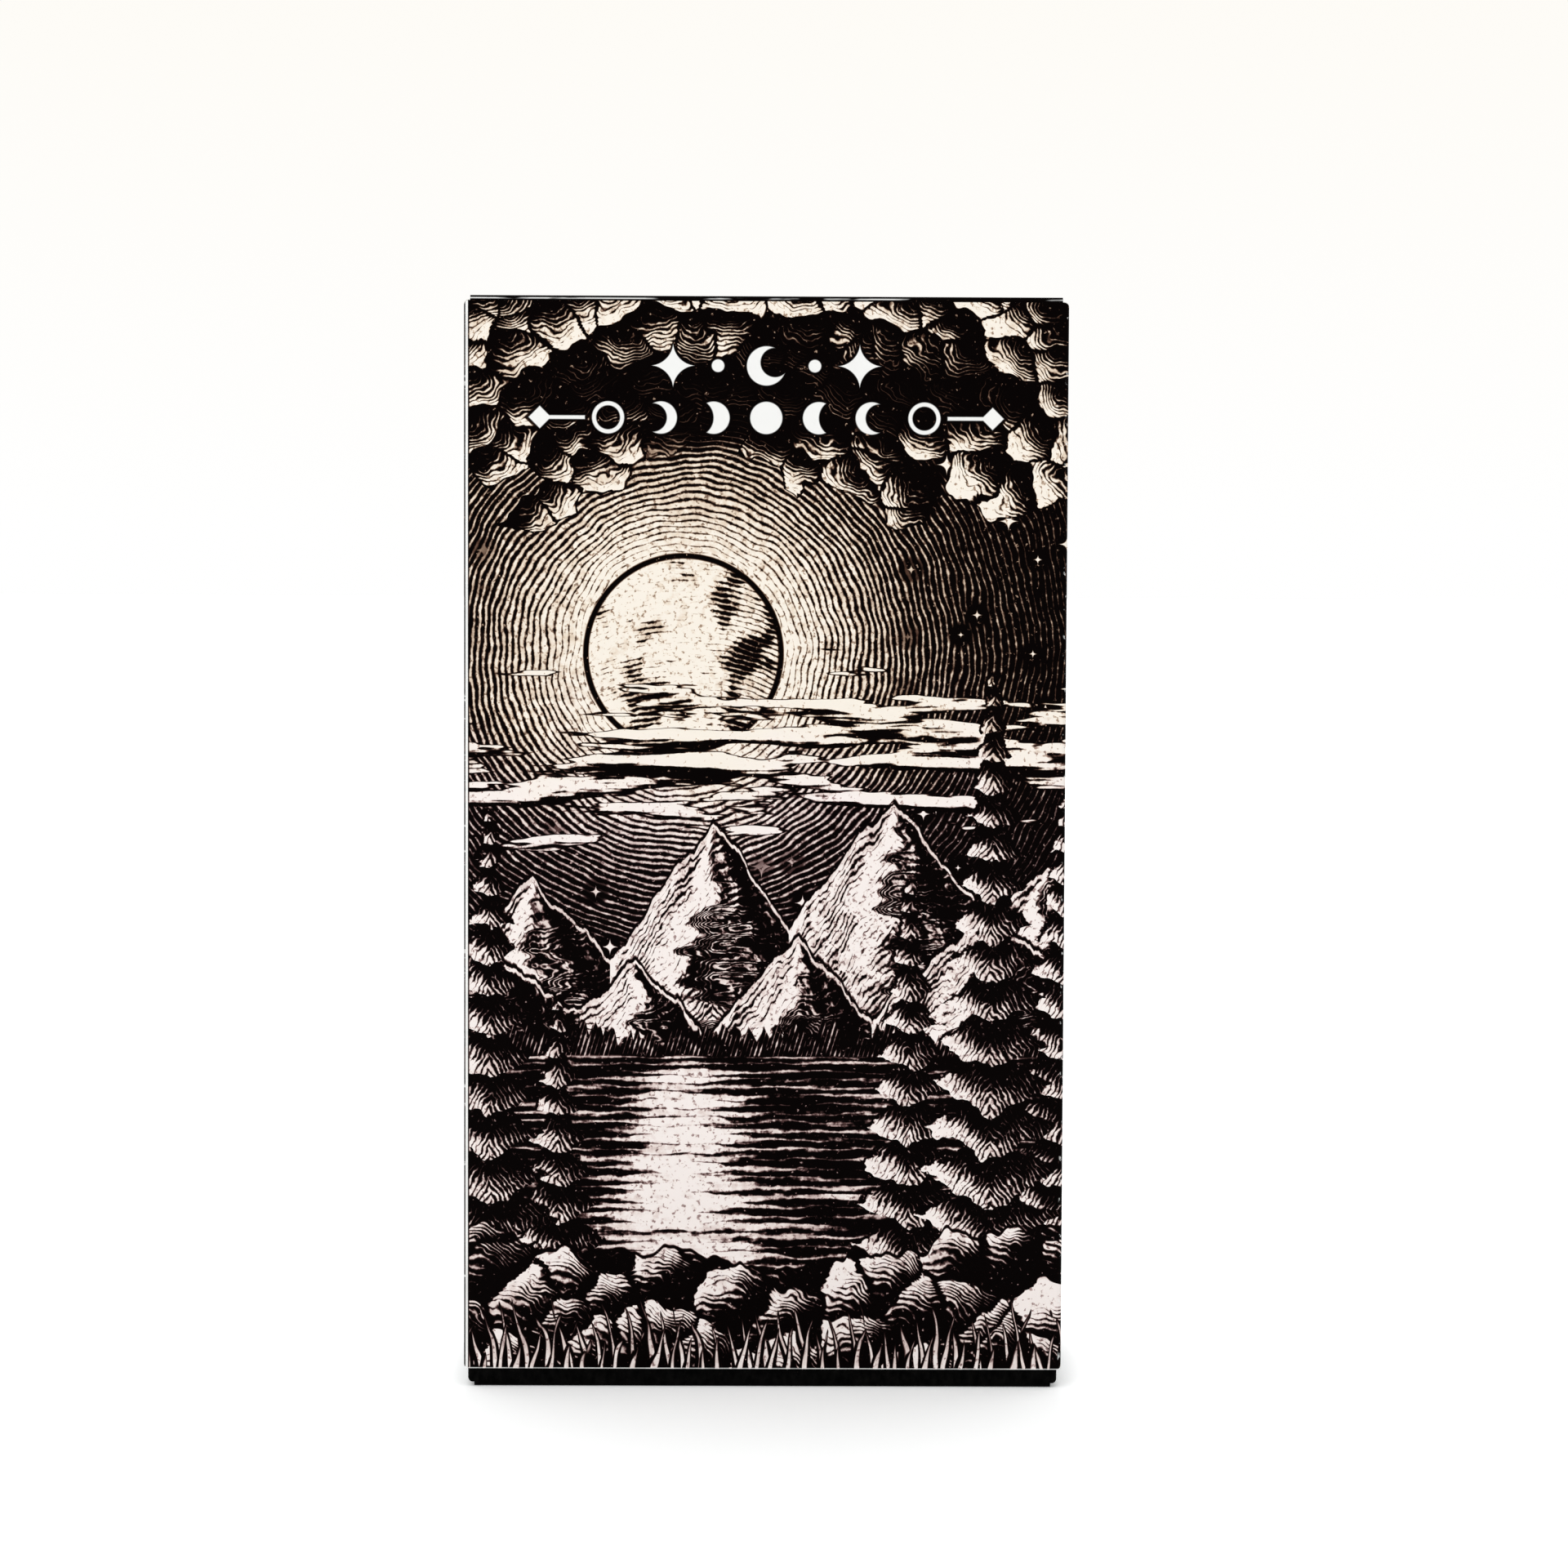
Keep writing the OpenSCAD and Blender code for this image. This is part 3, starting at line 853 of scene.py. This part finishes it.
def cardFace(x, z, group, number):
    d = deck
    r, turn = polar(x, z, 0.0, 0.0)
    ink = cutLines(turn * 160.0, r.fade(26.0) * 0.6 + grain(x, z, 4.0) * 0.3 + 0.06) * r.rise(5.0, 7.0)
    if group == "trumps":
        sun, inside = sunMedallion(x, z, 0.0, 0.86)
        ink = sun.over(ink, inside)
        beads = number.least(11.0)
    else:
        shape = signs[group](x, z)
        shade = cutLines((x * 0.7 - z) / pitch["sign"], 0.95 - x.rise(-1.0, 6.0) * 0.55)
        court = number.rise(3.6, 3.4)
        halo = band(r, 23.4, 24.0, 0.06).most(band(r, 25.4, 25.6, 0.06)) * court
        ink = (ink * (1.0 - band(r, 22.6, 26.4, 0.06) * court)).most(halo)
        ink = ink * (1.0 - signs[group](x / 1.05, z / 1.03).most(shape))
        ink = shade.over(ink, shape)
        beads = (number + 1.0).over(number - 3.0, court)
    for up in (-1, 1):
        wide, tall = d["plaque"]
        plate = (abs(x) - wide).most(abs(z - up * d["plaqueAt"]) - tall)
        ink = (ink * plate.rise(0.5, 0.6)).most(plate.rise(0.1, 0.0))
        ink = ink * (1.0 - band(plate, -0.75, -0.6, 0.04))
    row = z - d["plaqueAt"]
    bead = ((x / d["beadStep"] + beads * 0.5).part() - 0.5) * d["beadStep"]
    inRow = (abs(x) - beads * (d["beadStep"] * 0.5)).rise(0.02, -0.02)
    dots = (bead * bead + row * row).root().rise(*d["beadSize"]) * inRow
    return ink * (1.0 - dots)


def cardMaterial(name, group, first):
    material, shader, x, y, z = newMaterial(name)
    d = deck
    low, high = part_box("trump_00")
    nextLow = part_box("trump_01")[0]
    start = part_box(first)[0]
    mid = (low.z + high.z) / 2 / mm
    tall = (high.z - low.z) / 2 / mm
    z = z - mid
    number = x.math("FLOOR", (y - start.y / mm) / ((nextLow.y - low.y) / mm) + d["slack"])
    facing = x.make("ShaderNodeTexCoord", {}, {}, "Normal")
    facing = facing.make("ShaderNodeSeparateXYZ", {}, {0: facing}, 1)
    near = (high.x / mm - abs(x)).least(tall - abs(z)) - d["border"]
    face = cardFace(x, z, group, number)
    back = lattice(x, z, d["backLattice"], 0.16)
    back = roundel(back, x, abs(z), 0.0, d["backStarAt"], *d["backRoundel"])
    back = back.most(sparkle(x, abs(z), 0.0, d["backStarAt"], d["backStar"]))
    ink = face.over(back, facing < 0.0) * near.rise(1.1, 1.2)
    ink = ink.most(near.rise(0.05, -0.05)).most(band(near, 0.55, 0.75, 0.05))
    stock = ramp(grain(x * 0.4, z, 0.7, 3.0) + 0.5, d["stock"])
    linen = grain(x, z * 0.2, 0.5, 2.0) + grain(x * 0.2, z, 0.5, 2.0)
    feed(shader, "Base Color", blendColours(abs(facing) > 0.5, stock, printColour(ink, x, z)))
    feed(shader, "Roughness", linen * 0.12 + 0.40)
    feed(shader, "Specular IOR Level", d["gloss"])
    feed(shader, "Normal", bump(linen, 0.12, 0.0001))
    return material


# booklet: dark cover with a frame, pale pages, wire staples
booklet = {
    "starAt": 40.0, "star": 6.2, "starRoundel": (9.0, 7.8, 0.4), "smallStar": 4.0,
    "moon": 10.0, "moonRoundel": (17.1, 15.4, 0.6), "frame": (3.2, 4.4),
    "page": [(0.2, (0.70, 0.66, 0.57)), (0.8, (0.82, 0.79, 0.71))],
    "wire": [(0.2, (0.42, 0.42, 0.42)), (0.8, (0.62, 0.61, 0.60))],
}


def coverPrint():
    material, shader, x, y, z = newMaterial("bookletCover")
    low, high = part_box("booklet_cover")
    ink = cutLines((x + z) / pitch["cover"], grain(x, z, 10.0) * 0.35 + 0.10)
    mid = (low.z + high.z) / 2 / mm
    for pz in (mid - booklet["starAt"], mid + booklet["starAt"]):
        ink = roundel(ink, x, z, 0.0, pz, *booklet["starRoundel"])
        ink = ink.most(sparkle(x, z, 0.0, pz, booklet["star"]))
    ink = roundel(ink, x, z, 0.0, mid, *booklet["moonRoundel"])
    ink = ink.most(crescent(x, z, 0.0, mid, booklet["moon"], 1.0))
    ink = ink.most(sparkle(x, z, 5.0, mid, booklet["smallStar"]))
    ink = frameLines(ink, x, z, high.x / mm, low.z / mm, high.z / mm, booklet["frame"])
    rub = (high.x / mm - abs(x)).least(high.z / mm - z).least(z - low.z / mm)
    worn = rub.rise(0.5, 0.1) * grain(x, z * 0.3, 1.2, 4.0).rise(0.12, 0.3) * 0.6
    colour = blendColours(worn, printColour(ink * 0.9, x, z), (*paper["highlitAndRubbed"], 1.0))
    laminate(shader, x, y, z, colour, worn)
    return material


def pagePaper():
    material, shader, x, y, z = newMaterial("bookletPage")
    fibre = grain(x * 0.5 + y * 9.0, z, 0.9, 4.0)
    feed(shader, "Base Color", ramp(fibre + 0.5, booklet["page"]))
    feed(shader, "Roughness", fibre * 0.2 + 0.72)
    feed(shader, "Normal", bump(fibre, 0.15, 0.0001))
    return material


def stapleWire():
    material, shader, x, y, z = newMaterial("stapleSteel")
    drawn = grain(x * 6.0 + y * 6.0, z, 0.6, 3.0)
    feed(shader, "Base Color", ramp(drawn + 0.5, booklet["wire"]))
    feed(shader, "Metallic", 1.0)
    feed(shader, "Roughness", drawn * 0.3 + 0.34)
    return material


def dress(node, material):
    mesh = nodes[node].data
    mesh.materials.clear()
    mesh.materials.append(material)


def makeInsides():
    dress("tray", blackBoard())
    groups = {"trumps": cardMaterial("trumpCards", "trumps", "trump_00")}
    for suit in deck["suits"]:
        groups[suit] = cardMaterial(suit + "Cards", suit, suit + "_page")
    dress("booklet_cover", coverPrint())
    dress("booklet_staples", stapleWire())
    page = pagePaper()
    for name in nodes:
        kind = name.split("_")[0]
        if kind == "trump":
            dress(name, groups["trumps"])
        elif kind in groups:
            dress(name, groups[kind])
        elif name.startswith("booklet_sheet"):
            dress(name, page)
    print("tray, cards and booklet dressed")


# camera at the photograph's place: millimetres and degrees
shot = {
    "x": -1.36, "back": 500.0, "height": 100.23,
    "pitch": 3.3585, "yaw": 0.4117, "roll": 0.2467, "angle": 20.6307, "nearest": 10.0,
}


def makeCamera():
    data = bpy.data.cameras.new("shot")
    data.angle = math.radians(shot["angle"])
    data.clip_start = shot["nearest"] * mm
    camera = bpy.data.objects.new("shot", data)
    camera.location = Vector((shot["x"], lidLow.y / mm - shot["back"], shot["height"])) * mm
    aim = Euler((math.radians(90.0 - shot["pitch"]), 0.0, math.radians(-shot["yaw"]))).to_matrix()
    camera.rotation_euler = (aim @ Matrix.Rotation(math.radians(shot["roll"]), 3, "Z")).to_euler()
    bpy.context.scene.collection.objects.link(camera)
    bpy.context.scene.camera = camera


studio = {
    "floor": 6.0, "dome": 1.15, "tilt": 0.55, "from": (-0.15, 0.60, 0.50), "side": 1.0, "white": 1.0,
    "keyPower": 2.75, "keySize": 0.9, "keyAt": (-0.35, -0.95, 0.95), "keyAim": (0.0, 0.0, 0.06),
    "domeColour": (0.985, 1.0, 1.0, 1.0), "wall": [(0.0, (1.0, 1.0, 0.998)), (1.0, (0.99, 0.968, 0.922))],
    "wallRise": 8.0, "floorColour": 0.95, "floorRoughness": 0.9,
    "glow": 0.15, "sideGlow": 0.25, "besideFrom": (-1.0, 4.0),
}


def whiteRays(tree):  # camera, glossy and transmitted rays see the white surroundings
    path = tree.nodes.new("ShaderNodeLightPath")
    seen = Val(tree, path.outputs["Is Camera Ray"])
    return seen.most(seen.other("Is Glossy Ray")).most(seen.other("Is Transmission Ray"))


def makeStudio():
    world = bpy.data.worlds.new("studio")
    world.use_nodes = True
    bpy.context.scene.world = world
    tree = world.node_tree
    back = tree.nodes["Background"]
    seen = whiteRays(tree)
    aim = seen.make("ShaderNodeTexCoord", {}, {}, "Generated")
    up = aim.make("ShaderNodeSeparateXYZ", {}, {0: aim}, 2)
    wall = ramp(up * studio["wallRise"], studio["wall"])
    feed(back, "Color", blendColours(seen, studio["domeColour"], wall))
    slope = aim.make("ShaderNodeVectorMath", {"operation": "DOT_PRODUCT"},
                     {0: aim, 1: studio["from"]}, "Value")
    across = up.other(0)
    dome = (slope * studio["tilt"] + 1.0 - across * across * studio["side"]) * studio["dome"]
    feed(back, "Strength", dome.over(studio["white"], 1.0 - seen))
    lamp = bpy.data.lights.new("key", "AREA")
    lamp.energy = studio["keyPower"]
    lamp.size = studio["keySize"]
    key = bpy.data.objects.new("key", lamp)
    key.location = studio["keyAt"]
    key.rotation_euler = (Vector(studio["keyAim"]) - key.location).to_track_quat("-Z", "Y").to_euler()
    bpy.context.scene.collection.objects.link(key)
    bm = bmesh.new()
    bmesh.ops.create_grid(bm, x_segments=8, y_segments=8, size=studio["floor"])
    mesh = bpy.data.meshes.new("floor")
    bm.to_mesh(mesh)
    bm.free()
    floor = bpy.data.objects.new("floor", mesh)
    bpy.context.scene.collection.objects.link(floor)
    material, shader, x, y, z = newMaterial("floor")
    feed(shader, "Base Color", (studio["floorColour"],) * 3 + (1.0,))
    feed(shader, "Roughness", studio["floorRoughness"])
    feed(shader, "Specular IOR Level", 0.0)
    feed(shader, "Emission Color", (1.0, 1.0, 1.0, 1.0))
    beside = (abs(x) - lidWide).rise(*studio["besideFrom"])
    glow = beside * studio["sideGlow"] + studio["glow"]  # painted light: the floor glows brighter beside the box, which washes out the box's shadow there
    feed(shader, "Emission Strength", whiteRays(material.node_tree) * glow)
    mesh.materials.append(material)
    bpy.context.scene.view_settings.view_transform = "Standard"
    print("camera, floor and lights set")


makeCamera()
makeLid()
makeInsides()
makeStudio()
